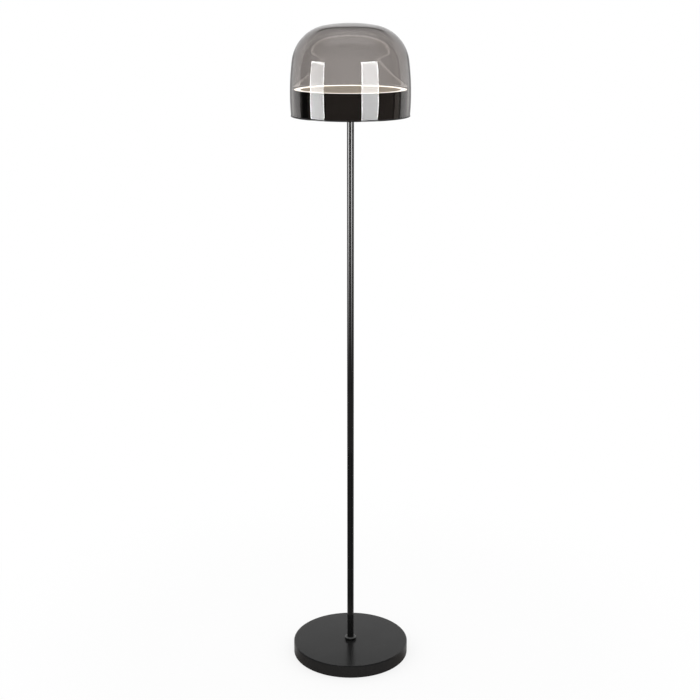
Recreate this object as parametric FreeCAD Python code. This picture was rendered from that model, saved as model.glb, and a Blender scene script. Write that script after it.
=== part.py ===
"""Globe floor lamp: a weighted round base, a slim black tube, and a black drum with a
glowing rim under a smoked-glass dome that lifts off. Millimetres, +Z up, Z = 0 on the floor,
the lamp's axis on X = Y = 0, the cord entry at the back (+Y)."""

import FreeCAD, Part
import math
import os

V = FreeCAD.Vector

# ---------------------------------------------------------------- driving dimensions
# Base
base_radius = 140.0
base_height = 31.0
cover_wall = 1.5
cover_edge_round = 2.5
skirt_floor_gap = 1.0
pad_thickness = 2.0
pad_width = 31.0
pad_inset = 4.0
bottom_plate_thickness = 1.5
weight_web = 13.5
weight_rim_width = 16.0
weight_edge_clearance = 1.5
nut_recess_radius = 20.0
nut_recess_depth = 6.0
boss_circle_radius = 60.0
boss_radius = 6.0

# Cord entry and terminals in the base
gland_bore_radius = 3.4
gland_wall = 1.6
gland_length = 14.0
gland_flange_width = 0.8
gland_flange_thickness = 1.5
cord_height = 9.5
clamp_length = 8.0
clamp_width = 28.0
terminal_length = 20.0
terminal_width = 20.0
terminal_front = 38.0
underside_gap = 1.0

# Pole
pole_radius = 8.0
pole_wall = 1.2
pole_length = 1283.0
collar_radius = 14.0
collar_height = 7.0
collar_floor = 2.0
collar_edge_round = 1.2
stud_radius = 4.95
stud_bore_radius = 3.5
insert_length = 20.0
stud_grip = 17.0

# Threaded fastening at both ends of the pole
nut_across_flats = 14.0
nut_height = 4.5
washer_radius = 11.0
washer_thickness = 1.5
lock_washer_radius = 9.0
lock_washer_thickness = 0.8
stud_past_nut = 1.2

# Glass dome: a side arc, a shoulder arc and a crown arc, each tangent to the next
dome_radius = 134.0
dome_height = 198.0
dome_widest_height = 44.0
dome_side_arc = 561.0
dome_shoulder_arc = 88.0
dome_crown_arc = 326.0
glass_wall = 3.5
gasket_thickness = 0.8
gasket_width = 5.0

# Drum under the dome
plate_thickness = 2.0
plate_overhang = 0.6
drum_height = 57.0
drum_glass_gap = 2.3
drum_wall = 1.2
drum_flange_width = 15.0
diffuser_width = 13.5
diffuser_thickness = 3.0
diffuser_recess = 0.3
diffuser_lip_thickness = 2.0
carrier_wall = 2.0
light_well_depth = 17.0
board_width = 9.0
board_thickness = 1.6
led_count = 48
led_length = 3.5
led_width = 2.8
led_height = 0.7
centre_cover_thickness = 1.5
centre_cover_recess = 1.0
centre_cover_rim_height = 7.5
standoff_radius = 4.0

# Driver and leads
driver_length = 70.0
driver_width = 36.0
driver_height = 25.0
driver_ear = 6.0
driver_ear_thickness = 2.5
driver_start = 30.0
supply_lead_radius = 2.2
supply_lead_bend = 8.0
supply_lead_top_bend = 10.0
led_lead_radius = 0.9
led_lead_spacing = 2.8
led_lead_bend = 7.0
led_lead_drop = 11.0

# Screws
small_screw_radius = 1.5
small_head_radius = 2.7
small_head_height = 2.0
plate_screw_radius = 2.0
plate_head_radius = 3.6
plate_head_height = 1.4
screw_depth = 8.0
screw_count = 3

# Clearances
thread_clearance = 0.05
slip_clearance = 0.1
seat_clearance = 0.3

# ---------------------------------------------------------------- levels worked out from them
plate_low = pad_thickness
plate_top = plate_low + bottom_plate_thickness
cover_inner_top = base_height - cover_wall
web_low = cover_inner_top - weight_web
recess_top = web_low + nut_recess_depth
weight_radius = base_radius - cover_wall - weight_edge_clearance
rim_inner_radius = weight_radius - weight_rim_width
gland_radius = gland_bore_radius + gland_wall
block_low = plate_top + underside_gap

pole_foot = base_height + collar_floor
head_low = pole_foot + pole_length
pole_bore = pole_radius - pole_wall
head_top = head_low + plate_thickness
glass_foot = head_top + gasket_thickness
glass_top = glass_foot + dome_height

dome_foot_radius = dome_radius - dome_side_arc + math.sqrt(dome_side_arc**2 - dome_widest_height**2)
dome_foot_bore = dome_foot_radius - glass_wall
drum_radius = dome_foot_bore - drum_glass_gap
drum_bore = drum_radius - drum_wall
drum_top = head_top + drum_height
diffuser_top = drum_top - diffuser_recess
diffuser_low = diffuser_top - diffuser_thickness
diffuser_bore = drum_bore - diffuser_width
well_floor = diffuser_low - light_well_depth
shelf_low = well_floor - carrier_wall
centre_cover_top = drum_top - centre_cover_recess
centre_cover_low = centre_cover_top - centre_cover_thickness
board_mid_radius = (diffuser_bore + drum_bore - diffuser_lip_thickness) / 2
flange_top = head_top + drum_wall


# ---------------------------------------------------------------- simple shapes
def cylinder(radius, low, high, x=0.0, y=0.0):
    return Part.makeCylinder(radius, high - low, V(x, y, low))


def ring(inner, outer, low, high):
    return cylinder(outer, low, high).cut(cylinder(inner, low - 1, high + 1))


def box(x0, x1, y0, y1, z0, z1):
    return Part.makeBox(x1 - x0, y1 - y0, z1 - z0, V(x0, y0, z0))


def rod_y(radius, start, end, z):
    """A cylinder along +Y on X = 0."""
    return Part.makeCylinder(radius, end - start, V(0, start, z), V(0, 1, 0))


def around(count, radius, first_degrees=0.0):
    """Evenly spaced points on a circle about the lamp's axis."""
    for i in range(count):
        angle = math.radians(first_degrees + 360.0 * i / count)
        yield radius * math.cos(angle), radius * math.sin(angle)


def screw(x, y, start, end, shank, head, head_height):
    """A pan-headed screw whose head sits at start and whose shank runs to end."""
    up = 1 if end > start else -1
    shank_low, shank_high = sorted((start, end))
    head_low_z, head_high_z = sorted((start, start - up * head_height))
    body = cylinder(shank, shank_low, shank_high, x, y)
    return body.fuse(cylinder(head, head_low_z, head_high_z, x, y)).removeSplitter()


def hex_nut(low, high, bore):
    corner = nut_across_flats / math.sqrt(3)
    points = [V(x, y, low) for x, y in around(6, corner)]
    prism = Part.Face(Part.makePolygon(points + points[:1])).extrude(V(0, 0, high - low))
    return prism.cut(cylinder(bore, low - 1, high + 1))


def lead(points, bends, radius):
    """A round lead: straight runs through the points, square corners rounded by arcs of the bend radii."""
    edges = []
    start = points[0]
    for before, corner, after, bend in zip(points, points[1:], points[2:], bends):
        into = (corner - before).normalize()
        out = (after - corner).normalize()
        first, last = corner - into * bend, corner + out * bend
        middle = corner + (out - into) * (bend * (1 - math.sqrt(0.5)))
        edges.append(Part.makeLine(start, first))
        edges.append(Part.Arc(first, middle, last).toShape())
        start = last
    edges.append(Part.makeLine(start, points[-1]))
    path = Part.Wire(edges)
    section = Part.Wire(Part.makeCircle(radius, points[0], points[1] - points[0]))
    solid = path.makePipeShell([section], True, False)
    share = solid.Volume / (math.pi * radius**2 * path.Length)
    print("lead: length %.1f mm, bends %s mm, volume %.4f of section times length" % (path.Length, bends, share))
    return solid


# ---------------------------------------------------------------- base
def foot_pad():
    outer = base_radius - pad_inset
    return ring(outer - pad_width, outer, 0, pad_thickness)


def bottom_plate():
    plate = cylinder(base_radius - cover_wall - seat_clearance, plate_low, plate_top)
    for x, y in boss_places():
        plate = plate.cut(cylinder(plate_screw_radius + slip_clearance, 0, plate_top + 1, x, y))
    return plate


def boss_places():
    return list(around(screw_count, boss_circle_radius, 30.0))


def bottom_plate_screws():
    return Part.makeCompound(
        [
            screw(x, y, plate_low, web_low, plate_screw_radius, plate_head_radius, plate_head_height)
            for x, y in boss_places()
        ]
    )


def clamp_centre():
    """Distance of the cord clamp from the axis, just inside the casting's rim."""
    return rim_inner_radius - seat_clearance - clamp_length


def clamp_screw_places():
    side = clamp_width / 2 - small_head_radius - cover_wall
    return [(-side, clamp_centre()), (side, clamp_centre())]


def terminal_centre():
    return terminal_front + terminal_length / 2


def base_weight():
    """Iron casting: a thick web, a rim and three bosses down to the bottom plate."""
    weight = cylinder(weight_radius, web_low, cover_inner_top)
    weight = weight.fuse(ring(rim_inner_radius, weight_radius, plate_top, web_low))
    for x, y in boss_places():
        weight = weight.fuse(cylinder(boss_radius, plate_top, web_low, x, y))
    weight = weight.removeSplitter()
    weight = weight.cut(cylinder(nut_recess_radius, web_low - 1, recess_top))
    weight = weight.cut(cylinder(stud_radius + slip_clearance, web_low, base_height))
    for x, y in boss_places():
        weight = weight.cut(cylinder(plate_screw_radius + thread_clearance, 0, web_low, x, y))
    for x, y in clamp_screw_places() + [(0, terminal_centre())]:
        hole = cylinder(small_screw_radius + thread_clearance, web_low - 1, web_low + screw_depth, x, y)
        weight = weight.cut(hole)
    channel = gland_radius + gland_flange_width + seat_clearance
    slot = box(-channel, channel, rim_inner_radius - cover_wall, base_radius, 0, cord_height + channel)
    return weight.cut(slot)


def base_cover():
    """Spun steel shell: flat top, rounded edge, straight skirt, open below."""
    outside = cylinder(base_radius, skirt_floor_gap, base_height)
    rim = [e for e in outside.Edges if e.BoundBox.ZMin > base_height - 0.01 and e.Closed]
    outside = outside.makeFillet(cover_edge_round, rim[:1])
    shell = outside.cut(cylinder(base_radius - cover_wall, 0, cover_inner_top))
    shell = shell.cut(cylinder(stud_radius + slip_clearance, cover_inner_top - 1, base_height + 1))
    return shell.cut(rod_y(gland_radius + thread_clearance, 0, base_radius + 1, cord_height))


def gland_end():
    """The gland's outer face, flush with the skirt."""
    return math.sqrt(base_radius**2 - gland_radius**2)


def cord_gland():
    end = gland_end()
    body = rod_y(gland_radius, end - gland_length, end, cord_height)
    bore_of_skirt = cylinder(base_radius - cover_wall - thread_clearance, 0, base_height)
    flange_end = base_radius - cover_wall
    flange = rod_y(gland_radius + gland_flange_width, flange_end - gland_flange_thickness, flange_end, cord_height)
    body = body.fuse(flange.common(bore_of_skirt)).removeSplitter()
    return body.cut(rod_y(gland_bore_radius, 0, base_radius + 1, cord_height))


def cord_clamp():
    """Bridge that holds the mains lead against a pull, screwed to the casting."""
    middle = clamp_centre()
    bar = box(
        -clamp_width / 2, clamp_width / 2, middle - clamp_length / 2, middle + clamp_length / 2, block_low, web_low
    )
    bar = bar.cut(rod_y(gland_bore_radius + seat_clearance, 0, base_radius, cord_height))
    for x, y in clamp_screw_places():
        bar = bar.cut(cylinder(small_screw_radius + thread_clearance, 0, base_height, x, y))
        bar = bar.cut(cylinder(small_head_radius + slip_clearance, 0, block_low + small_head_height, x, y))
    return bar


def cord_clamp_screws():
    return Part.makeCompound([block_screw(x, y) for x, y in clamp_screw_places()])


def block_screw(x, y):
    """A screw let into the underside of a block and up into the casting."""
    start = block_low + small_head_height
    return screw(x, y, start, web_low + screw_depth, small_screw_radius, small_head_radius, small_head_height)


def terminal_block():
    block = box(
        -terminal_width / 2,
        terminal_width / 2,
        terminal_front,
        terminal_front + terminal_length,
        block_low,
        web_low,
    )
    y = terminal_centre()
    block = block.cut(cylinder(small_screw_radius + thread_clearance, 0, base_height, 0, y))
    return block.cut(cylinder(small_head_radius + slip_clearance, 0, block_low + small_head_height, 0, y))


def terminal_screw():
    return block_screw(0, terminal_centre())


# ---------------------------------------------------------------- pole and its fastenings
def base_washer():
    return ring(stud_radius + slip_clearance, washer_radius, recess_top - washer_thickness, recess_top)


def base_lock_washer():
    top = recess_top - washer_thickness
    return ring(stud_radius + slip_clearance, lock_washer_radius, top - lock_washer_thickness, top)


def base_nut():
    top = recess_top - washer_thickness - lock_washer_thickness
    return hex_nut(top - nut_height, top, stud_radius + thread_clearance)


def lower_stud_end():
    return recess_top - washer_thickness - lock_washer_thickness - nut_height - stud_past_nut


def lower_stud():
    return ring(stud_bore_radius, stud_radius, lower_stud_end(), pole_foot + stud_grip)


def pole_collar():
    collar = cylinder(collar_radius, base_height, base_height + collar_height)
    top = [e for e in collar.Edges if e.BoundBox.ZMin > base_height + collar_height - 0.01 and e.Closed]
    collar = collar.makeFillet(collar_edge_round, top[:1])
    collar = collar.cut(cylinder(stud_radius + slip_clearance, base_height - 1, pole_foot))
    return collar.cut(cylinder(pole_radius + thread_clearance, pole_foot, base_height + collar_height + 1))


def threaded_insert(low, high):
    return ring(stud_radius + thread_clearance, pole_bore - thread_clearance, low, high)


def lower_insert():
    return threaded_insert(pole_foot, pole_foot + insert_length)


def upper_insert():
    return threaded_insert(head_low - insert_length, head_low)


def pole_tube():
    return ring(pole_bore, pole_radius, pole_foot, head_low)


def head_nut_low():
    return head_top + washer_thickness


def upper_stud_end():
    return head_nut_low() + nut_height + stud_past_nut


def upper_stud():
    return ring(stud_bore_radius, stud_radius, head_low - stud_grip, upper_stud_end())


def head_washer():
    return ring(stud_radius + slip_clearance, washer_radius, head_top, head_top + washer_thickness)


def head_nut():
    return hex_nut(head_nut_low(), head_nut_low() + nut_height, stud_radius + thread_clearance)


# ---------------------------------------------------------------- drum
def standoff_places():
    return list(around(screw_count, board_mid_radius, 60.0))


def driver_screw_places():
    ear_middle = driver_ear / 2
    return [(driver_start - ear_middle, 0), (driver_start + driver_length + ear_middle, 0)]


def driver_screw_y():
    """The driver's ears are at opposite corners, clear of its leads."""
    return driver_width / 2 - driver_ear


def head_plate():
    plate = cylinder(dome_foot_radius + plate_overhang, head_low, head_top)
    plate = plate.cut(cylinder(stud_radius + slip_clearance, head_low - 1, head_top + 1))
    for x, y in standoff_places():
        plate = plate.cut(cylinder(small_screw_radius + slip_clearance, head_low - 1, head_top + 1, x, y))
    for x, _ in driver_screw_places():
        hole = cylinder(small_screw_radius + thread_clearance, head_low - 1, head_top + 1, x, driver_screw_y())
        plate = plate.cut(hole)
    return plate


def ring_band():
    """Black drum: a rolled wall with a flange turned in at the bottom."""
    band = ring(drum_bore, drum_radius, head_top, drum_top)
    band = band.fuse(ring(drum_radius - drum_flange_width, drum_radius - drum_wall / 2, head_top, flange_top))
    band = band.removeSplitter()
    for x, y in standoff_places():
        band = band.cut(cylinder(small_screw_radius + slip_clearance, head_top - 1, flange_top + 1, x, y))
    return band


def standoffs():
    pillars = []
    for x, y in standoff_places():
        pillar = cylinder(standoff_radius, flange_top, shelf_low, x, y)
        pillars.append(pillar.cut(cylinder(small_screw_radius + thread_clearance, 0, shelf_low + 1, x, y)))
    return Part.makeCompound(pillars)


def standoff_screws():
    return Part.makeCompound(
        [
            screw(x, y, head_low, flange_top + screw_depth, small_screw_radius, small_head_radius, small_head_height)
            for x, y in standoff_places()
        ]
    )


def countersunk(x, y, grow=0.0):
    """A countersunk screw, its head flush with the floor of the light well."""
    head_depth = carrier_wall * 0.75
    cone = Part.makeCone(
        small_screw_radius + grow,
        small_head_radius + grow,
        head_depth,
        V(x, y, well_floor - head_depth),
    )
    return cone.fuse(cylinder(small_screw_radius + grow, shelf_low - screw_depth, well_floor, x, y)).removeSplitter()


def carrier_screws():
    return Part.makeCompound([countersunk(x, y) for x, y in standoff_places()])


def led_carrier():
    """Aluminium ring: the floor and inner wall of the light well, and the seat of the centre cover."""
    outer = drum_bore - slip_clearance
    inner = diffuser_bore - carrier_wall
    carrier = ring(inner, outer, shelf_low, well_floor)
    carrier = carrier.fuse(ring(inner, diffuser_bore, shelf_low, centre_cover_low)).removeSplitter()
    for x, y in standoff_places():
        carrier = carrier.cut(countersunk(x, y, thread_clearance))
    return carrier.cut(lead_hole(shelf_low - 1, well_floor + 1))


def lead_hole(low, high):
    return cylinder(led_lead_spacing / 2 + led_lead_radius + seat_clearance, low, high, board_mid_radius, 0)


def led_board():
    half = board_width / 2
    return ring(board_mid_radius - half, board_mid_radius + half, well_floor, well_floor + board_thickness)


def led_chips():
    top = well_floor + board_thickness
    chips = []
    for i in range(led_count):
        chip = box(
            board_mid_radius - led_width / 2,
            board_mid_radius + led_width / 2,
            -led_length / 2,
            led_length / 2,
            top,
            top + led_height,
        )
        chip.rotate(V(0, 0, 0), V(0, 0, 1), 360.0 * (i + 0.5) / led_count)
        chips.append(chip)
    return Part.makeCompound(chips)


def diffuser_ring():
    """Opal ring that glows inside the drum's rim, standing on the light well's floor by its lip."""
    outer = drum_bore - slip_clearance
    top_ring = ring(diffuser_bore + slip_clearance, outer, diffuser_low, diffuser_top)
    lip = ring(outer - diffuser_lip_thickness, outer, well_floor, diffuser_top)
    return top_ring.fuse(lip).removeSplitter()


def centre_cover():
    """Pressed lid over the driver, with a rim that pushes into the carrier."""
    lid = cylinder(diffuser_bore - slip_clearance, centre_cover_low, centre_cover_top)
    rim_outer = diffuser_bore - carrier_wall - slip_clearance
    rim = ring(
        rim_outer - centre_cover_thickness,
        rim_outer,
        centre_cover_low - centre_cover_rim_height,
        centre_cover_top,
    )
    return lid.fuse(rim).removeSplitter()


# ---------------------------------------------------------------- driver and leads
def led_driver():
    half = driver_width / 2
    end = driver_start + driver_length
    driver = box(driver_start, end, -half, half, head_top, head_top + driver_height)
    for x, _ in driver_screw_places():
        ear = box(
            x - driver_ear / 2,
            x + driver_ear / 2,
            driver_screw_y() - driver_ear,
            driver_screw_y() + driver_ear,
            head_top,
            head_top + driver_ear_thickness,
        )
        driver = driver.fuse(ear)
    driver = driver.removeSplitter()
    for x, _ in driver_screw_places():
        hole = cylinder(small_screw_radius + slip_clearance, head_top - 1, head_top + driver_height, x, driver_screw_y())
        driver = driver.cut(hole)
    return driver


def driver_screws():
    seat = head_top + driver_ear_thickness
    return Part.makeCompound(
        [
            screw(x, driver_screw_y(), seat, head_low, small_screw_radius, small_head_radius, small_head_height)
            for x, _ in driver_screw_places()
        ]
    )


def supply_lead():
    """Two-core lead from the terminal block, up the pole, to the driver."""
    low = block_low + supply_lead_radius + seat_clearance
    high = upper_stud_end() + seat_clearance + supply_lead_top_bend
    route = [V(0, terminal_front, low), V(0, 0, low), V(0, 0, high), V(driver_start, 0, high)]
    return lead(route, [supply_lead_bend, supply_lead_top_bend], supply_lead_radius)


def led_leads():
    height = head_top + driver_height - led_lead_drop
    start = driver_start + driver_length
    pair = []
    for y in (-led_lead_spacing / 2, led_lead_spacing / 2):
        route = [V(start, y, height), V(board_mid_radius, y, height), V(board_mid_radius, y, well_floor)]
        pair.append(lead(route, [led_lead_bend], led_lead_radius))
    return Part.makeCompound(pair)


# ---------------------------------------------------------------- glass
def glass_gasket():
    outer = dome_foot_radius
    return ring(outer - gasket_width, outer, head_top, glass_foot)


def dome_section():
    """The three arc centres, in the plane Y = 0: side, shoulder and crown. The shoulder's circle
    touches the other two from inside, so its centre is where two circles about theirs cross."""
    side = V(dome_radius - dome_side_arc, 0, glass_foot + dome_widest_height)
    crown = V(0, 0, glass_top - dome_crown_arc)
    from_side = dome_side_arc - dome_shoulder_arc
    from_crown = dome_crown_arc - dome_shoulder_arc
    apart = (crown - side).Length
    along = (from_side**2 - from_crown**2 + apart**2) / (2 * apart)
    across = math.sqrt(from_side**2 - along**2)
    way = (crown - side).normalize()
    square = V(-way.z, 0, way.x)
    if square.z < 0:
        square = square * -1
    shoulder = side + way * along + square * across
    return side, shoulder, crown


def dome_outline(inset):
    """Arcs of one wall face, inset from the outer one, from the foot up to the axis."""
    side, shoulder, crown = dome_section()
    side_r = dome_side_arc - inset
    shoulder_r = dome_shoulder_arc - inset
    crown_r = dome_crown_arc - inset
    foot = V(side.x + math.sqrt(side_r**2 - (glass_foot - side.z) ** 2), 0, glass_foot)
    side_end = side + (shoulder - side).normalize() * side_r
    shoulder_end = crown + (shoulder - crown).normalize() * crown_r
    top = V(0, 0, crown.z + crown_r)

    def arc(centre, radius, first, last):
        middle = ((first - centre) + (last - centre)).normalize()
        return Part.Arc(first, centre + middle * radius, last).toShape()

    edges = [
        arc(side, side_r, foot, side_end),
        arc(shoulder, shoulder_r, side_end, shoulder_end),
        arc(crown, crown_r, shoulder_end, top),
    ]
    return edges, foot, top


def glass_dome():
    outer, outer_foot, outer_top = dome_outline(0)
    inner, inner_foot, inner_top = dome_outline(glass_wall)
    edges = outer + [Part.makeLine(outer_top, inner_top)] + inner + [Part.makeLine(inner_foot, outer_foot)]
    section = Part.Face(Part.Wire(Part.__sortEdges__(edges)))
    return section.revolve(V(0, 0, 0), V(0, 0, 1), 360)


# ---------------------------------------------------------------- export
PIECES = [
    foot_pad,
    bottom_plate,
    bottom_plate_screws,
    base_weight,
    base_cover,
    cord_gland,
    cord_clamp,
    cord_clamp_screws,
    terminal_block,
    terminal_screw,
    base_washer,
    base_lock_washer,
    base_nut,
    lower_stud,
    pole_collar,
    lower_insert,
    pole_tube,
    upper_insert,
    upper_stud,
    head_plate,
    head_washer,
    head_nut,
    supply_lead,
    led_driver,
    driver_screws,
    led_leads,
    ring_band,
    standoffs,
    standoff_screws,
    carrier_screws,
    led_carrier,
    led_board,
    led_chips,
    diffuser_ring,
    centre_cover,
    glass_gasket,
    glass_dome,
]

os.makedirs("parts", exist_ok=True)
for piece in PIECES:
    shape = piece()
    shape.exportStep("parts/%s.step" % piece.__name__)
    print("%-22s %3d solid(s) %12.1f mm3 valid %s" % (piece.__name__, len(shape.Solids), shape.Volume, shape.isValid()))
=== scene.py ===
"""Globe floor lamp, dressed for the camera: a satin black stand and a lit drum under smoked glass.
Metres, +Z up, the lamp's axis on X = Y = 0, its front towards -Y."""

import math

import bpy
import numpy as np
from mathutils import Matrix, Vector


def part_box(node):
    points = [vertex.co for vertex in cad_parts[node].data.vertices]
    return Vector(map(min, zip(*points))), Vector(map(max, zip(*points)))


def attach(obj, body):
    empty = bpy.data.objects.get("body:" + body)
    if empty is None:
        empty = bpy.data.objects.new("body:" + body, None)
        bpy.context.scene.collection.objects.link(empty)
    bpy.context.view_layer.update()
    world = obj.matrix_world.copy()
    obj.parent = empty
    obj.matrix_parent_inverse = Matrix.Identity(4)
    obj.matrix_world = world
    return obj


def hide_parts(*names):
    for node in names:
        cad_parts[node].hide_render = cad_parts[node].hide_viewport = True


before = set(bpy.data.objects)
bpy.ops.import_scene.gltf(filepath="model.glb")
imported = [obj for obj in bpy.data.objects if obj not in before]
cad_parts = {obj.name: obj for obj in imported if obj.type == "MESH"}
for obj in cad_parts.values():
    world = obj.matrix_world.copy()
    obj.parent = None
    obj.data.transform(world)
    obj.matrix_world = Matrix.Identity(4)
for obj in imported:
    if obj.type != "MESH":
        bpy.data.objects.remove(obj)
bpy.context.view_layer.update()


# Viewpoint of the photograph: a standing person's eye, just under three metres in front of
# the lamp, tilted down so that the dome and the base both stay in the frame.
camera_distance = 2.945
camera_height = 1.602
camera_tilt = math.radians(15.67)
camera_lens = 67.4
camera_shift = -0.0007

camera = bpy.data.objects.new("camera", bpy.data.cameras.new("camera"))
camera.data.sensor_width = 36.0
camera.data.lens = camera_lens
camera.data.shift_x = camera_shift
camera.location = (0.0, -camera_distance, camera_height)
camera.rotation_euler = (math.pi / 2 - camera_tilt, 0.0, 0.0)
bpy.context.scene.collection.objects.link(camera)
bpy.context.scene.camera = camera
bpy.context.scene.view_settings.view_transform = "Standard"


# Studio: a white backdrop behind the lamp, a dim room in front of it, a pale flat to the right and
# a black beam high behind. Only reflections show them: what is seen straight or through the glass
# is white, and soft white light comes from all round.
class Wire:
    """A value that leaves a shader node. Sums written with it add Math nodes to the same tree."""

    def __init__(self, shading, socket):
        self.shading = shading
        self.socket = socket

    def math(self, operation, first, second):
        return self.shading.add("ShaderNodeMath", {"operation": operation}, {0: first, 1: second})

    def __add__(self, other):
        return self.math("ADD", self, other)

    def __radd__(self, other):
        return self.math("ADD", other, self)

    def __sub__(self, other):
        return self.math("SUBTRACT", self, other)

    def __rsub__(self, other):
        return self.math("SUBTRACT", other, self)

    def __mul__(self, other):
        return self.math("MULTIPLY", self, other)

    def __rmul__(self, other):
        return self.math("MULTIPLY", other, self)

    def __truediv__(self, other):
        return self.math("DIVIDE", self, other)

    def __pow__(self, other):
        return self.math("POWER", self, other)

    def most(self, other):
        return self.math("MAXIMUM", self, other)

    def step(self, low, high):
        """0 below low, 1 above high, and an S-shaped rise between them."""
        sockets = {"Value": self, "From Min": low, "From Max": high}
        return self.shading.add("ShaderNodeMapRange", {"interpolation_type": "SMOOTHSTEP"}, sockets)


class Shading:
    """The node tree of one finish, lamp panel or surrounding, built from empty."""

    def __init__(self, owner):
        owner.use_nodes = True
        self.tree = owner.node_tree
        self.tree.nodes.clear()

    def add(self, kind, settings=None, inputs=None, out=0):
        """One node: settings are its own properties, inputs are values or Wires by socket."""
        node = self.tree.nodes.new(kind)
        for key, value in (settings or {}).items():
            setattr(node, key, value)
        for key, value in (inputs or {}).items():
            if isinstance(value, Wire):
                self.tree.links.new(value.socket, node.inputs[key])
            else:
                node.inputs[key].default_value = value
        return None if out is None else Wire(self, node.outputs[out])

    def split(self, vector):
        """The X, Y and Z of a vector."""
        node = self.add("ShaderNodeSeparateXYZ", {}, {0: vector}).socket.node
        return [Wire(self, socket) for socket in node.outputs]

    def mixed(self, factor, first, second):
        """Colour that goes from first to second as factor goes from 0 to 1."""
        sockets = {0: factor, 6: first, 7: second}
        return self.add("ShaderNodeMix", {"data_type": "RGBA"}, sockets, 2)

    def place(self):
        """Where a point is on the lamp, in metres."""
        return self.add("ShaderNodeTexCoord", {}, {}, "Object")

    def off_axis(self):
        """How far a point is from the lamp's axis, in metres: the root of x squared plus y squared."""
        x, y = self.split(self.place())[:2]
        return (x * x + y * y) ** 0.5

    def noise(self, grain, detail=2.0, stretch=(1.0, 1.0, 1.0)):
        """Cloudy noise from 0 to 1 whose blotches are about grain metres across."""
        vector = self.add("ShaderNodeMapping", {}, {"Vector": self.place(), "Scale": stretch})
        return self.add("ShaderNodeTexNoise", {}, {"Vector": vector, "Scale": 1.0 / grain, "Detail": detail})

    def bumps(self, height, depth):
        """Surface normal raised by height times depth metres."""
        return self.add("ShaderNodeBump", {}, {"Height": height, "Distance": depth, "Strength": 1.0})

    def rays(self, *names):
        """1 on each of the named kinds of ray and 0 on the others."""
        node = self.add("ShaderNodeLightPath").socket.node
        return [Wire(self, node.outputs[name]) for name in names]

    def coat(self, kind, sockets):
        """Closes the tree with one shader on the surface output."""
        output = "ShaderNodeOutputWorld" if kind == "ShaderNodeBackground" else "ShaderNodeOutputMaterial"
        self.add(output, {}, {"Surface": self.add(kind, {}, sockets)}, None)


def grey(level):
    return (level, level, level, 1.0)


room_front = (0.25, 0.215, 0.19, 1.0)
room_high_front = grey(0.04)
room_shadow = grey(0.03)
room_flat = (0.50, 0.45, 0.41, 1.0)
room_behind = grey(1.0)
room_mid_behind = grey(0.88)
room_far_behind = grey(0.42)
room_beam = grey(0.0)
room_high_behind = grey(0.50)
room_ceiling = grey(1.0)
room_fill = grey(1.0)

# Where one part of the room gives way to the next. In a direction of length 1, north is its part
# away from the camera, east its part to the camera's right, and up its part upwards.
shadow_north = (-0.06, 0.0)
flat_north = (0.02, 0.05)
flat_end_north = (0.26, 0.29)
flat_east = (0.3, 0.4)
backdrop_north = (0.33, 0.38)
far_north = (0.80, 0.93)
backdrop_up = (0.03, 0.12)
high_behind_up = (0.46, 0.56)
beam_up = (0.46, 0.48)
beam_end_up = (0.545, 0.565)
beam_end_east_squared = (0.06, 0.12)
front_end_north = (-0.1, 0.1)
high_front_up = (0.25, 0.6)
ceiling_up = (0.72, 0.95)
ceiling_north = (-0.38, -0.22)

# A ray's mirrorings are 0 until a surface reflects it, and 1 or more from then on.
mirrored_once = (0.4, 0.6)


def room(shading, east, north):
    """Colour of the room at eye level by the horizontal direction that it is seen in."""
    seen = shading.mixed(north.step(*shadow_north), room_front, room_shadow)
    flat = north.step(*flat_north) * east.step(*flat_east) * (1.0 - north.step(*flat_end_north))
    seen = shading.mixed(flat, seen, room_flat)
    seen = shading.mixed(north.step(*backdrop_north), seen, room_behind)
    return shading.mixed(north.step(*far_north), seen, room_far_behind)


studio = Shading(bpy.data.worlds.new("studio"))
bpy.context.scene.world = bpy.data.worlds["studio"]
east, north, height = studio.split(studio.add("ShaderNodeTexCoord", {}, {}, "Generated"))
behind = north.step(*backdrop_north)
beam = height.step(*beam_up) * (1.0 - height.step(*beam_end_up))
beam = beam * (1.0 - (east * east).step(*beam_end_east_squared))
high_front = (1.0 - north.step(*front_end_north)) * height.step(*high_front_up)
ceiling = height.step(*ceiling_up) * north.step(*ceiling_north)
seen = studio.mixed(behind * height.step(*backdrop_up), room(studio, east, north), room_mid_behind)
seen = studio.mixed(behind * height.step(*high_behind_up), seen, room_high_behind)
seen = studio.mixed(behind * beam, seen, room_beam)
seen = studio.mixed(high_front, seen, room_high_front)
seen = studio.mixed(ceiling, seen, room_ceiling)
ray_camera, ray_through, mirrorings = studio.rays("Is Camera Ray", "Is Transmission Ray", "Glossy Depth")
lit = studio.mixed(ray_camera.most(ray_through), room_fill, room_behind)
lit = studio.mixed(mirrorings.step(*mirrored_once), lit, seen)
studio.coat("ShaderNodeBackground", {"Color": lit, "Strength": 1.0})


# Softboxes: two tall lit cloths to the left and right of the camera. Their reflections are the
# pale strips on the glass, the drum and the pole. A flag before each one keeps its glare off the
# base, and only reflections show them all.
def stage_panel(name, points):
    """One flat face through points, hidden from all but reflections. Returns its new material."""
    mesh = bpy.data.meshes.new(name)
    mesh.from_pydata(points.tolist(), [], [list(range(len(points)))])
    mesh.update()
    material = bpy.data.materials.new(name)
    material.cycles.emission_sampling = "NONE"
    mesh.materials.append(material)
    panel = bpy.data.objects.new(name, mesh)
    bpy.context.scene.collection.objects.link(panel)
    panel.visible_camera = False
    panel.visible_diffuse = False
    panel.visible_transmission = False
    panel.visible_shadow = False
    return material


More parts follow.
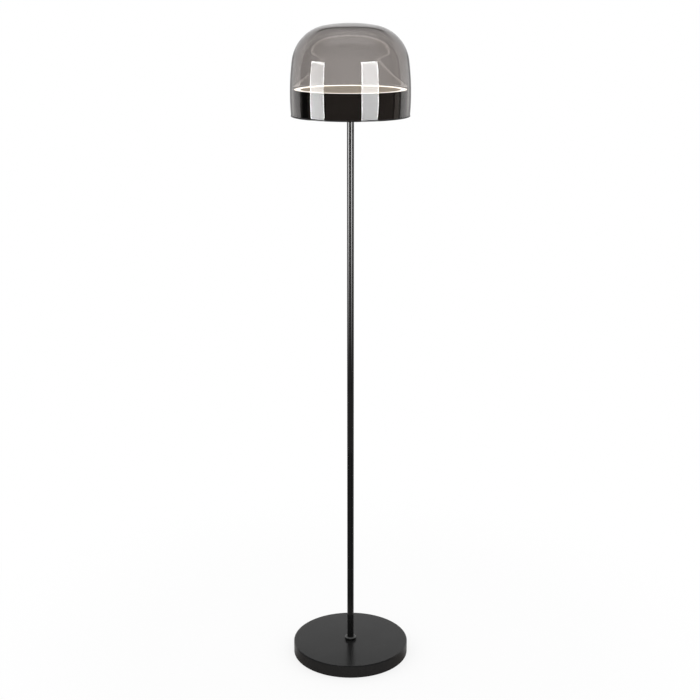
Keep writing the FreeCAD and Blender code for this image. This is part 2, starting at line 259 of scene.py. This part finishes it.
def upright(name, azimuth, half, distance, low, high):
    """Upright rectangle facing the lamp, 2 half wide. azimuth is degrees round the lamp from the
    camera's side, positive to the right. Returns its material."""
    middle = math.radians(azimuth)
    centre = distance * np.array([math.sin(middle), -math.cos(middle), 0.0])
    along = half * np.array([math.cos(middle), math.sin(middle), 0.0])
    corners = np.array([centre - along, centre + along, centre + along, centre - along])
    corners[:, 2] = [low, low, high, high]
    return stage_panel(name, corners)


softbox_distance = 1.8
softbox_foot = (0.1, 1.1)
softbox_fade = (1.15, 1.6)
border_below_top = (0.12, 0.08)
border_aside_squared = (0.76, 0.84)
border_extra = 1.1


def softbox(name, azimuth, spread, high, strength, fade):
    """Tall lit cloth spread degrees wide, brightest along its border, dark at its foot and dimmed by
    the share fade at its head. aside runs from -1 to 1 over its width."""
    middle = math.radians(azimuth)
    half = softbox_distance * math.tan(math.radians(spread / 2))
    shading = Shading(upright(name, azimuth, half, softbox_distance, softbox_foot[0], high))
    x, y, level = shading.split(shading.place())
    aside = x * (math.cos(middle) / half) + y * (math.sin(middle) / half)
    top = level.step(high - border_below_top[0], high - border_below_top[1])
    border = (aside * aside).step(*border_aside_squared).most(top)
    glow = level.step(*softbox_foot) * (1.0 - fade * level.step(*softbox_fade))
    share = glow * (1.0 + border_extra * border) * (1.0 / (1.0 + border_extra))
    cloth = shading.mixed(share, grey(0.0), grey(1.0))
    shading.coat("ShaderNodeEmission", {"Color": cloth, "Strength": strength * (1.0 + border_extra)})


flag_half = 0.20
flag_distance = 0.25
flag_height = 0.43


def flag(name, azimuth):
    """Black card close to the base, on a softbox's side."""
    card = upright(name, azimuth, flag_half, flag_distance, 0.0, flag_height)
    Shading(card).coat("ShaderNodeEmission", {"Strength": 0.0})


left_azimuth = -64.5
right_azimuth = 36.4
softbox("softbox_left", left_azimuth, spread=30.2, high=1.83, strength=13.5, fade=0.33)
softbox("softbox_right", right_azimuth, spread=32.4, high=1.93, strength=12.5, fade=0.03)
flag("flag_left", left_azimuth)
flag("flag_right", right_azimuth)


# Canopy: a black disc over the base, so that the base's rounded edge doesn't mirror the ceiling.
# Its top is clear, so the pole above it doesn't mirror it.
canopy_radius = 0.45
canopy_level = 0.45
canopy_sides = 48
canopy_turn = np.linspace(0.0, 2 * math.pi, canopy_sides, endpoint=False)
canopy_rim = np.stack([np.cos(canopy_turn), np.sin(canopy_turn), np.ones(canopy_sides)], axis=1)
canopy_rim *= [canopy_radius, canopy_radius, canopy_level]
shading = Shading(stage_panel("canopy", canopy_rim))
clear = shading.add("ShaderNodeBsdfTransparent")
black = shading.add("ShaderNodeEmission", {}, {"Strength": 0.0})
underside = shading.add("ShaderNodeNewGeometry", {}, {}, "Backfacing")
cloth = shading.add("ShaderNodeMixShader", {}, {0: underside, 1: clear, 2: black})
shading.add("ShaderNodeOutputMaterial", {}, {"Surface": cloth}, None)


# Floor: matt white studio paper. It takes the lamp's soft shadow and turns into plain white
# further out, so that no horizon shows. Reflections meet a dim floor near the lamp, and the room.
floor_reach = 20.0
floor_top = -0.0002
floor_under = -0.01
floor_sides = 64
floor_colour = grey(0.94)
floor_white = 0.78
floor_fade_start = 0.45
floor_fade_end = 1.1
floor_mirrored = (0.15, 0.135, 0.125, 1.0)
floor_mirrored_behind = grey(0.40)
floor_room_start = 2.5
floor_room_end = 4.5
floor_behind_north = (-0.4, 0.2)
off_axis_least = 0.001
smooth_under = math.radians(40)


def turned(name, section, around=128):
    """Surface of revolution about +Z. section is an array of (radius, height) points, and the grid
    point (i, j) is (r_i cos t_j, r_i sin t_j, z_i) with t_j evenly round the circle. A section whose
    ends lie on the axis is closed by a point there, and any other section closes on itself. Where
    the sum of r_i z_(i+1) - r_(i+1) z_i is below 0 the section runs clockwise, and its faces are
    turned over to point outwards."""
    on_axis = section[0, 0] < 1e-9
    rings = section[1:-1] if on_axis else section
    turn = np.linspace(0.0, 2 * math.pi, around, endpoint=False)
    points = np.empty((len(rings), around, 3))
    points[..., 0] = rings[:, :1] * np.cos(turn)
    points[..., 1] = rings[:, :1] * np.sin(turn)
    points[..., 2] = rings[:, 1:]
    points = points.reshape(-1, 3)
    here = np.arange(len(points)).reshape(len(rings), around)
    beside = np.roll(here, -1, axis=1)
    quads = np.stack([here, beside, np.roll(beside, -1, axis=0), np.roll(here, -1, axis=0)], axis=-1)
    fans = np.empty((0, 3), int)
    if on_axis:
        quads = quads[:-1]
        first_tip = np.full(around, len(points))
        first_fan = np.stack([first_tip, beside[0], here[0]], axis=-1)
        last_fan = np.stack([first_tip + 1, here[-1], beside[-1]], axis=-1)
        fans = np.vstack([first_fan, last_fan])
        tips = np.zeros((2, 3))
        tips[:, 2] = section[[0, -1], 1]
        points = np.vstack([points, tips])
    quads = quads.reshape(-1, 4)
    after = np.roll(section, -1, axis=0)
    if (section[:, 0] * after[:, 1] - after[:, 0] * section[:, 1]).sum() < 0:
        quads, fans = quads[:, [0, 3, 2, 1]], fans[:, [0, 2, 1]]
    mesh = bpy.data.meshes.new(name)
    mesh.from_pydata(points.tolist(), [], quads.tolist() + fans.tolist())
    mesh.shade_smooth()
    mesh.set_sharp_from_angle(angle=smooth_under)
    piece = bpy.data.objects.new(name, mesh)
    bpy.context.scene.collection.objects.link(piece)
    return piece


floor_section = [[0.0, floor_top], [floor_reach, floor_top], [floor_reach, floor_under], [0.0, floor_under]]
floor = turned("floor", np.array(floor_section), around=floor_sides)
paper = bpy.data.materials.new("studio_paper")
shading = Shading(paper)
x, y = shading.split(shading.place())[:2]
distance = ((x * x + y * y) ** 0.5).most(off_axis_least)
far = distance.step(floor_fade_start, floor_fade_end)
ray_camera, ray_through, mirrorings = shading.rays("Is Camera Ray", "Is Transmission Ray", "Glossy Depth")
around_lamp = room(shading, x / distance, y / distance)
mirrored = shading.mixed((y / distance).step(*floor_behind_north), floor_mirrored, floor_mirrored_behind)
mirrored = shading.mixed(distance.step(floor_room_start, floor_room_end), mirrored, around_lamp)
matt = shading.add("ShaderNodeBsdfDiffuse", {}, {"Color": floor_colour})
white = shading.add("ShaderNodeEmission", {}, {"Color": grey(1.0), "Strength": 1.0})
dim = shading.add("ShaderNodeEmission", {}, {"Color": mirrored, "Strength": 1.0})
share = ray_camera.most(ray_through) * (floor_white + (1.0 - floor_white) * far)
seen = shading.add("ShaderNodeMixShader", {}, {0: share, 1: matt, 2: white})
seen = shading.add("ShaderNodeMixShader", {}, {0: mirrorings.step(*mirrored_once), 1: seen, 2: dim})
shading.add("ShaderNodeOutputMaterial", {}, {"Surface": seen}, None)
floor.data.materials.append(paper)


# Foot pad: a ring of black closed-cell foam, die-cut from sheet and stuck under the base.
# Its cut cells show as small pits.
def rounded(corners, radii, steps=6, guard=0.0004):
    """Section through the corners with each one rounded. From a corner P with unit directions u in
    and v out and turn a, the arc of radius r starts r tan(a/2) before P, and its point at angle t
    is start + r (sin t u + (1 - cos t) n), n being v's part square to u. A guard point a little
    outside each end of an arc keeps the flats flat when they are shaded smooth."""
    corners = np.array(corners, float)
    radii = np.broadcast_to(np.array(radii, float), len(corners))[:, None, None]
    into = corners - np.roll(corners, 1, axis=0)
    into /= np.linalg.norm(into, axis=1)[:, None]
    out = np.roll(into, -1, axis=0)
    turn = np.arccos(np.clip((into * out).sum(axis=1), -1.0, 1.0))[:, None, None]
    into, out = into[:, None, :], out[:, None, :]
    square = (out - into * np.cos(turn)) / np.sin(turn)
    start = corners[:, None, :] - into * radii * np.tan(turn / 2)
    swept = np.linspace(0.0, 1.0, steps + 1)[None, :, None] * turn
    arc = start + radii * (np.sin(swept) * into + (1 - np.cos(swept)) * square)
    before = arc[:, :1] - guard * into
    after = arc[:, -1:] + guard * out
    return np.concatenate([before, arc, after], axis=1).reshape(-1, 2)


def dress(piece, body, slot, material, *nodes):
    """Gives a new piece its material and says which body carries it and which nodes it stands for."""
    piece.data.materials.append(material)
    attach(piece, body)
    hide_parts(*nodes)


def span(node):
    """Outer radius, lowest and highest level of a round CAD node."""
    low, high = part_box(node)
    return (high[1] - low[1]) / 2, low[2], high[2]


pad_width = 0.031
pad_arris = 0.0004
foam_cells = 1400.0
pad_radius, pad_low, pad_high = span("foot_pad")
pad_inner = pad_radius - pad_width
pad_section = rounded(
    [(pad_inner, pad_low), (pad_radius, pad_low), (pad_radius, pad_high), (pad_inner, pad_high)],
    pad_arris,
    steps=2,
)
foot_pad = turned("foot_pad_foam", pad_section)
foam = bpy.data.materials.new("foot_foam")
shading = Shading(foam)
cells = shading.add("ShaderNodeTexVoronoi", {}, {"Vector": shading.place(), "Scale": foam_cells})
tone = shading.noise(0.02)
shading.coat(
    "ShaderNodeBsdfPrincipled",
    {
        "Base Color": shading.mixed(tone, grey(0.02), grey(0.045)),
        "Roughness": 0.82 + 0.1 * tone,
        "Normal": shading.bumps(cells, 0.0002),
    },
)
dress(foot_pad, "stand", "foot_foam", foam, "foot_pad")


# Base cover: sheet steel spun over a former to a flat top, a tight rounded edge and a straight
# skirt, then powder coated satin black. The cord's bush comes through the back of the skirt.
cloud_size = 0.045
dust_size = 0.0011
dust_rise = (0.70, 0.76)
dust_colour = grey(0.08)
dust_dullness = 0.12
peel_depth = 0.00002


def black_coat(name, tone, grain, shine, specks):
    """Satin black powder coat: a fine orange-peel skin, faint cloudiness in the gloss, and a few
    dust specks. tone is its grey, grain the width of the peel in metres, shine the middle roughness
    and specks the strength of the dust."""
    material = bpy.data.materials.new(name)
    shading = Shading(material)
    cloud = shading.noise(cloud_size, 3.0)
    dust = shading.noise(dust_size, 1.0).step(*dust_rise)
    peel = shading.noise(grain, 2.0)
    colour = shading.mixed(cloud, grey(tone * 0.75), grey(tone * 1.25))
    colour = shading.mixed(dust * specks, colour, dust_colour)
    roughness = shine + shine * 0.3 * (cloud - 0.5) + dust_dullness * specks * dust
    normal = shading.bumps(peel, shine * peel_depth)
    sockets = {"Base Color": colour, "Roughness": roughness, "Normal": normal, "IOR": 1.5}
    shading.coat("ShaderNodeBsdfPrincipled", sockets)
    return material


cover_wall = 0.0015
cover_edge = 0.0025
cover_hem = 0.0006
cover_bend = 0.0005
cover_hole = 0.00505
hole_arris = 0.0002
cover_radius, cover_low, cover_top = span("base_cover")
cover_inner = cover_radius - cover_wall
cover_under = cover_top - cover_wall
cover_section = rounded(
    [
        (cover_hole, cover_top),
        (cover_radius, cover_top),
        (cover_radius, cover_low),
        (cover_inner, cover_low),
        (cover_inner, cover_under),
        (cover_hole, cover_under),
    ],
    [hole_arris, cover_edge, cover_hem, cover_hem, cover_bend, hole_arris],
    steps=8,
)
base_cover = turned("base_cover_coated", cover_section, around=192)
bush_hole = 0.00505
cord_level = 0.0095
drill_length = 0.03
bpy.ops.mesh.primitive_cylinder_add(
    vertices=48,
    radius=bush_hole,
    depth=drill_length,
    location=(0.0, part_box("cord_gland")[1][1], cord_level),
    rotation=(math.pi / 2, 0.0, 0.0),
)
drill = bpy.context.object
hole = base_cover.modifiers.new("cord_hole", "BOOLEAN")
hole.operation = "DIFFERENCE"
hole.object = drill
bpy.context.view_layer.update()
bored = bpy.data.meshes.new_from_object(base_cover.evaluated_get(bpy.context.evaluated_depsgraph_get()))
base_cover.modifiers.clear()
base_cover.data = bored
bored.set_sharp_from_angle(angle=smooth_under)
bpy.data.objects.remove(drill)
base_coat = black_coat("base_coat", tone=0.014, grain=0.0006, shine=0.23, specks=0.3)
dress(base_cover, "stand", "black_paint", base_coat, "base_cover")


# Pole collar: a turned steel cup that hides the joint between the tube and the base. Its top edge
# is painted a lighter grey: a painted highlight for the light its rim catches.
collar_bore = 0.00805
collar_hole = 0.00505
collar_floor = 0.002
collar_foot_arris = 0.0003
collar_shoulder = 0.0016
collar_lip = 0.0006
collar_corner = 0.0001
collar_highlight_below = (0.0018, 0.0008)
collar_radius, collar_low, collar_top = span("pole_collar")
collar_section = rounded(
    [
        (collar_hole, collar_low),
        (collar_radius, collar_low),
        (collar_radius, collar_top),
        (collar_bore, collar_top),
        (collar_bore, collar_low + collar_floor),
        (collar_hole, collar_low + collar_floor),
    ],
    [hole_arris, collar_foot_arris, collar_shoulder, collar_lip, collar_corner, hole_arris],
    steps=8,
)
pole_collar = turned("pole_collar_coated", collar_section, around=96)
collar_coat = bpy.data.materials.new("collar_coat")
shading = Shading(collar_coat)
level = shading.split(shading.place())[2]
cloud = shading.noise(0.01, 2.0)
# painted highlight: the base colour turns lighter grey within 2 mm of the collar's top
painted_highlight = level.step(collar_top - collar_highlight_below[0], collar_top - collar_highlight_below[1])
shading.coat(
    "ShaderNodeBsdfPrincipled",
    {
        "Base Color": shading.mixed(painted_highlight, grey(0.006), grey(0.075)),
        "Roughness": 0.20 + 0.06 * cloud,
        "Normal": shading.bumps(cloud, 0.00001),
    },
)
dress(pole_collar, "stand", "black_paint", collar_coat, "pole_collar")


# Pole: one length of 16 mm steel tube, cut square, deburred and coated a little glossier
# than the base.
pole_wall = 0.0012
pole_arris = 0.0002
pole_radius, pole_low, pole_top = span("pole_tube")
pole_section = rounded(
    [
        (pole_radius - pole_wall, pole_low),
        (pole_radius, pole_low),
        (pole_radius, pole_top),
        (pole_radius - pole_wall, pole_top),
    ],
    pole_arris,
    steps=3,
)
pole = turned("pole_tube_coated", pole_section, around=96)
pole_coat = black_coat("pole_coat", tone=0.009, grain=0.0016, shine=0.05, specks=0.1)
dress(pole, "stand", "black_paint", pole_coat, "pole_tube")


# Head plate: a laser-cut steel disc with a softened edge, coated like the pole. A stud, a washer
# and a nut hold it on the pole, and it carries the glass and the drum.
plate_hole = 0.00505
plate_edge = 0.0006
plate_radius, plate_low, plate_top = span("head_plate")
plate_section = rounded(
    [(plate_hole, plate_low), (plate_radius, plate_low), (plate_radius, plate_top), (plate_hole, plate_top)],
    [hole_arris, plate_edge, plate_edge, hole_arris],
)
head_plate = turned("head_plate_coated", plate_section, around=192)
dress(head_plate, "stand", "black_paint", pole_coat, "head_plate")


# Drum: a rolled and seam-welded steel band with an in-turned flange, coated gloss black so that
# it mirrors the room through the glass.
drum_wall = 0.0012
drum_flange = 0.015
drum_bend = 0.0008
drum_inner_bend = 0.0005
drum_arris = 0.0003
drum_radius, drum_low, drum_top = span("ring_band")
drum_inner = drum_radius - drum_wall
drum_section = rounded(
    [
        (drum_radius - drum_flange, drum_low),
        (drum_radius, drum_low),
        (drum_radius, drum_top),
        (drum_inner, drum_top),
        (drum_inner, drum_low + drum_wall),
        (drum_radius - drum_flange, drum_low + drum_wall),
    ],
    [drum_arris, drum_bend, drum_arris, drum_arris, drum_inner_bend, drum_arris],
)
drum = turned("ring_band_coated", drum_section, around=192)
drum_coat = black_coat("drum_coat", tone=0.007, grain=0.0008, shine=0.10, specks=0.1)
dress(drum, "stand", "black_paint", drum_coat, "ring_band")


# Diffuser: an opal acrylic ring let into the drum's rim, on a lip that stands on the light well's
# floor. The LEDs below make it glow, a little brighter over their row than at its two edges.
diffuser_width = 0.0133
diffuser_thickness = 0.003
lip_width = 0.002
diffuser_arris = 0.0003
lip_arris = 0.0004
diffuser_rim = 0.0005
diffuser_bore_rim = 0.0006
diffuser_glow = 3.0
glow_row = (1.0, 0.98, 0.93, 1.0)
glow_edge = (1.0, 0.95, 0.84, 1.0)
diffuser_radius, lip_low, diffuser_top = span("diffuser_ring")
diffuser_low = diffuser_top - diffuser_thickness
diffuser_bore = diffuser_radius - diffuser_width
diffuser_section = rounded(
    [
        (diffuser_bore, diffuser_low),
        (diffuser_radius - lip_width, diffuser_low),
        (diffuser_radius - lip_width, lip_low),
        (diffuser_radius, lip_low),
        (diffuser_radius, diffuser_top),
        (diffuser_bore, diffuser_top),
    ],
    [diffuser_arris, diffuser_arris, lip_arris, lip_arris, diffuser_rim, diffuser_bore_rim],
)
diffuser = turned("diffuser_opal", diffuser_section, around=192)
opal = bpy.data.materials.new("opal_diffuser")
shading = Shading(opal)
radius = shading.off_axis()
row = diffuser_radius - diffuser_width / 2
edge = ((radius - row) * (radius - row)) / (diffuser_width / 2) ** 2
cloud = shading.noise(0.012, 2.0)
glow = shading.mixed((edge * 0.7 + 0.15 * cloud).step(0.0, 1.0), glow_row, glow_edge)
shading.coat(
    "ShaderNodeBsdfPrincipled",
    {
        "Base Color": shading.mixed(cloud, (0.93, 0.91, 0.85, 1.0), (0.96, 0.94, 0.89, 1.0)),
        "Roughness": 0.35 + 0.1 * cloud,
        "Emission Color": glow,
        "Emission Strength": diffuser_glow,
        "Normal": shading.bumps(cloud, 0.00002),
    },
)
dress(diffuser, "stand", "opal_diffuser", opal, "diffuser_ring")


# Centre cover: a moulded opal lid that closes the drum inside the glowing ring. Its glow is painted
# light: an emission standing in for the light that reaches it, painted brighter at its edge than in its
# middle.
lid_thickness = 0.0015
lid_lip = 0.002
lid_middle = 0.0005
lid_edge = 0.0007
lid_arris = 0.0003
lid_middle_arris = 0.0001
lid_painted_glow_start = 0.05
lid_painted_glow_middle = (0.30, 0.26, 0.21, 1.0)
lid_painted_glow_edge = (0.52, 0.46, 0.37, 1.0)
lid_radius, lid_rim_low, lid_top = span("centre_cover")
lid_rim = lid_radius - lid_lip
lid_under = lid_top - lid_thickness
lid_corners = rounded(
    [
        (lid_middle, lid_top),
        (lid_radius, lid_top),
        (lid_radius, lid_under),
        (lid_rim, lid_under),
        (lid_rim, lid_rim_low),
        (lid_rim - lid_thickness, lid_rim_low),
        (lid_rim - lid_thickness, lid_under),
        (lid_middle, lid_under),
    ],
    [lid_middle_arris, lid_edge] + [lid_arris] * 5 + [lid_middle_arris],
)
lid_section = np.vstack([[(0.0, lid_top)], lid_corners, [(0.0, lid_under)]])
lid = turned("centre_cover_opal", lid_section, around=192)
opal_cover = bpy.data.materials.new("opal_cover")
shading = Shading(opal_cover)
radius = shading.off_axis()
# painted light: the lid's emission colour, brighter towards its edge
glow = shading.mixed(radius.step(lid_painted_glow_start, lid_radius), lid_painted_glow_middle, lid_painted_glow_edge)
cloud = shading.noise(0.05, 3.0)
grain = shading.noise(0.0007, 2.0)
shading.coat(
    "ShaderNodeBsdfPrincipled",
    {
        "Base Color": shading.mixed(cloud, (0.76, 0.72, 0.62, 1.0), (0.82, 0.78, 0.69, 1.0)),
        "Roughness": 0.40 + 0.1 * cloud,
        "Emission Color": glow,
        "Emission Strength": 1.0,
        "Normal": shading.bumps(grain, 0.00002),
    },
)
dress(lid, "stand", "opal_cover", opal_cover, "centre_cover")


# Glass ring: a flat black ring cut from silicone sheet. It lies on the plate by its weight, and the
# glass stands on it.
ring_width = 0.005
ring_arris = 0.0002
ring_radius, ring_low, ring_high = span("glass_gasket")
ring_section = rounded(
    [
        (ring_radius - ring_width, ring_low),
        (ring_radius, ring_low),
        (ring_radius, ring_high),
        (ring_radius - ring_width, ring_high),
    ],
    ring_arris,
    steps=3,
)
glass_ring = turned("glass_ring_silicone", ring_section, around=192)
silicone = bpy.data.materials.new("black_silicone")
shading = Shading(silicone)
bloom = shading.noise(0.008, 3.0)
shading.coat(
    "ShaderNodeBsdfPrincipled",
    {
        "Base Color": shading.mixed(bloom, grey(0.018), grey(0.035)),
        "Roughness": 0.5 + 0.2 * bloom,
        "Normal": shading.bumps(shading.noise(0.0004), 0.00003),
    },
)
dress(glass_ring, "stand", "gasket_rubber", silicone, "glass_gasket")


# Glass dome: mould-blown smoked glass, 3.5 mm thick, with a fire-polished foot. It is smoked
# through its mass, so it darkens where the eye looks along the wall. It lifts straight off.
glass_wall = 0.0035
side_arc = 0.561
shoulder_arc = 0.088
crown_arc = 0.326
widest_height = 0.044
smoke = (0.513, 0.477, 0.457, 1.0)
smoke_density = 322.0
foot_arris = 0.0005
foot_reach = 8
foot_steps = 6
foot_above_arris = 0.0006
foot_end_arris = 0.0001
dome_radius, dome_foot, dome_top = span("glass_dome")


def arc_of(centre, radius, start, end, steps):
    """Points at radius from centre, from the angle of start to the angle of end."""
    first = math.atan2(start[1] - centre[1], start[0] - centre[0])
    last = math.atan2(end[1] - centre[1], end[0] - centre[0])
    sweep = np.linspace(first, last, steps)
    return centre + radius * np.stack([np.cos(sweep), np.sin(sweep)], axis=1)


def dome_wall(inset):
    """One face of the wall from the foot to the crown: a side arc, a shoulder arc and a crown arc,
    each tangent to the next. The shoulder's centre is at side_arc - shoulder_arc from the side's
    centre and at crown_arc - shoulder_arc from the crown's: the crossing of two circles."""
    side = np.array([dome_radius - side_arc, dome_foot + widest_height])
    crown = np.array([0.0, dome_top - crown_arc])
    from_side, from_crown = side_arc - shoulder_arc, crown_arc - shoulder_arc
    apart = np.linalg.norm(crown - side)
    along = (from_side**2 - from_crown**2 + apart**2) / (2 * apart)
    way = (crown - side) / apart
    square = np.array([-way[1], way[0]])
    square *= math.copysign(1.0, square[1])
    shoulder = side + way * along + square * math.sqrt(from_side**2 - along**2)
    side_r, shoulder_r, crown_r = side_arc - inset, shoulder_arc - inset, crown_arc - inset
    foot = np.array([side[0] + math.sqrt(side_r**2 - widest_height**2), dome_foot])
    side_end = side + (shoulder - side) / np.linalg.norm(shoulder - side) * side_r
    shoulder_end = crown + (shoulder - crown) / np.linalg.norm(shoulder - crown) * crown_r
    top = crown + np.array([0.0, crown_r])
    return np.vstack(
        [
            arc_of(side, side_r, foot, side_end, 24),
            arc_of(shoulder, shoulder_r, side_end, shoulder_end, 40)[1:],
            arc_of(crown, crown_r, shoulder_end, top, 20)[1:],
        ]
    )


outer_wall = dome_wall(0.0)
inner_wall = dome_wall(glass_wall)
foot_corners = [inner_wall[foot_reach], inner_wall[0], outer_wall[0], outer_wall[foot_reach]]
foot = rounded(foot_corners, [foot_end_arris, foot_arris, foot_arris, foot_end_arris], foot_steps)
foot = foot[foot_steps + 3 : -foot_steps - 3]
foot_top = dome_foot + foot_arris + foot_above_arris
outer_above = outer_wall[outer_wall[:, 1] > foot_top]
inner_above = inner_wall[inner_wall[:, 1] > foot_top]
dome_section = np.vstack([outer_above[::-1], foot[::-1], inner_above])
dome_section[0, 0] = dome_section[-1, 0] = 0.0
dome = turned("glass_dome_smoked", dome_section, around=192)
glass = bpy.data.materials.new("smoked_glass")
shading = Shading(glass)
depth = shading.noise(0.06, 2.0)
waviness = shading.noise(0.035, 1.0, (1.0, 1.0, 0.5))
clear = shading.add(
    "ShaderNodeBsdfPrincipled",
    {},
    {
        "Base Color": shading.mixed(depth, grey(0.97), grey(0.93)),
        "Roughness": 0.0,
        "Transmission Weight": 1.0,
        "IOR": 1.5,
        "Normal": shading.bumps(waviness, 0.0001),
    },
)
mass = shading.add("ShaderNodeVolumeAbsorption", {}, {"Color": smoke, "Density": smoke_density})
shading.add("ShaderNodeOutputMaterial", {}, {"Surface": clear, "Volume": mass}, None)
dress(dome, "glass", "smoked_glass", glass, "glass_dome")


# Zinc-plated steel: nuts, washers, hollow studs, inserts, screws, standoffs and the bottom plate,
# all bright with a faint blue-yellow passivation and fine drawing lines.
def repaint(names, material):
    """Gives kept CAD nodes a material."""
    for name in names:
        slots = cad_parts[name].data.materials
        slots.clear()
        slots.append(material)


zinc = bpy.data.materials.new("zinc_plate")
shading = Shading(zinc)
tint = shading.noise(0.018, 3.0)
lines = shading.noise(0.0009, 2.0, (1.0, 1.0, 0.08))
shading.coat(
    "ShaderNodeBsdfPrincipled",
    {
        "Base Color": shading.mixed(tint, (0.60, 0.62, 0.66, 1.0), (0.68, 0.66, 0.58, 1.0)),
        "Metallic": 1.0,
        "Roughness": 0.30 + 0.18 * lines,
        "Normal": shading.bumps(lines, 0.00003),
    },
)
repaint(
    [
        "bottom_plate",
        "bottom_plate_screws",
        "cord_clamp_screws",
        "terminal_screw",
        "base_washer",
        "base_lock_washer",
        "base_nut",
        "lower_stud",
        "lower_insert",
        "upper_insert",
        "upper_stud",
        "head_washer",
        "head_nut",
        "driver_screws",
        "standoffs",
        "standoff_screws",
        "carrier_screws",
    ],
    zinc,
)


# Weight: grey iron, sand-cast and left rough, with rust-brown freckles. It fills the base under
# the cover.
iron = bpy.data.materials.new("cast_iron")
shading = Shading(iron)
sand = shading.noise(0.0016, 4.0)
rust = shading.noise(0.012, 4.0).step(0.58, 0.72)
shading.coat(
    "ShaderNodeBsdfPrincipled",
    {
        "Base Color": shading.mixed(rust, (0.12, 0.12, 0.125, 1.0), (0.17, 0.10, 0.06, 1.0)),
        "Metallic": 0.6 * (1.0 - rust),
        "Roughness": 0.62 + 0.25 * sand,
        "Normal": shading.bumps(sand, 0.0004),
    },
)
repaint(["base_weight"], iron)


# Plastic parts: the cord's bush and clamp in black nylon, the terminal block in cream, the
# driver's case and the LED board in white, and the black sheath of the leads.
def moulded(name, low, high, shine, grain):
    """Moulded plastic: a spark-eroded grain, grain metres wide, a slow drift of tone between the two
    colours low and high, and shine as the least roughness."""
    material = bpy.data.materials.new(name)
    shading = Shading(material)
    tone = shading.noise(0.015, 2.0)
    spark = shading.noise(grain, 3.0)
    shading.coat(
        "ShaderNodeBsdfPrincipled",
        {
            "Base Color": shading.mixed(tone, low, high),
            "Roughness": shine + 0.12 * spark,
            "Normal": shading.bumps(spark, 0.00005),
        },
    )
    return material


nylon = moulded("black_nylon", grey(0.022), grey(0.034), shine=0.48, grain=0.0005)
repaint(["cord_gland", "cord_clamp"], nylon)
sheath = moulded("lead_sheath", grey(0.03), grey(0.05), shine=0.42, grain=0.0007)
repaint(["supply_lead", "led_leads"], sheath)
cream = moulded("terminal_cream", (0.72, 0.69, 0.60, 1.0), (0.78, 0.75, 0.66, 1.0), shine=0.35, grain=0.0006)
repaint(["terminal_block"], cream)
case = moulded("driver_white", grey(0.72), grey(0.78), shine=0.38, grain=0.0006)
repaint(["led_driver"], case)
mask = moulded("board_mask", (0.80, 0.80, 0.77, 1.0), (0.86, 0.86, 0.84, 1.0), shine=0.30, grain=0.0004)
repaint(["led_board"], mask)


# Carrier: an aluminium ring turned on a lathe, with the tool's rings left in it. Screws hold it on
# the standoffs, and the LED board lies on it.
lathe_rings = 16000.0
turned_metal = bpy.data.materials.new("turned_aluminium")
shading = Shading(turned_metal)
wave = shading.add("ShaderNodeMath", {"operation": "SINE"}, {0: shading.off_axis() * lathe_rings})
rings = (wave + 1.0) * 0.5
tone = shading.noise(0.02)
shading.coat(
    "ShaderNodeBsdfPrincipled",
    {
        "Base Color": shading.mixed(tone, grey(0.74), grey(0.80)),
        "Metallic": 1.0,
        "Roughness": 0.26 + 0.10 * rings,
        "Normal": shading.bumps(rings, 0.00001),
    },
)
repaint(["led_carrier"], turned_metal)


# LEDs: small packages filled with yellow phosphor, soldered to the board in one row under the
# diffuser. The phosphor's fine grain shows in their glow.
phosphor = bpy.data.materials.new("led_phosphor")
shading = Shading(phosphor)
grain = shading.noise(0.0006, 2.0)
shading.coat(
    "ShaderNodeBsdfPrincipled",
    {
        "Base Color": shading.mixed(grain, (0.90, 0.72, 0.25, 1.0), (0.95, 0.82, 0.40, 1.0)),
        "Roughness": 0.3 + 0.1 * grain,
        "Emission Color": shading.mixed(grain, (1.0, 0.86, 0.62, 1.0), (1.0, 0.92, 0.74, 1.0)),
        "Emission Strength": 3.0,
    },
)
repaint(["led_chips"], phosphor)
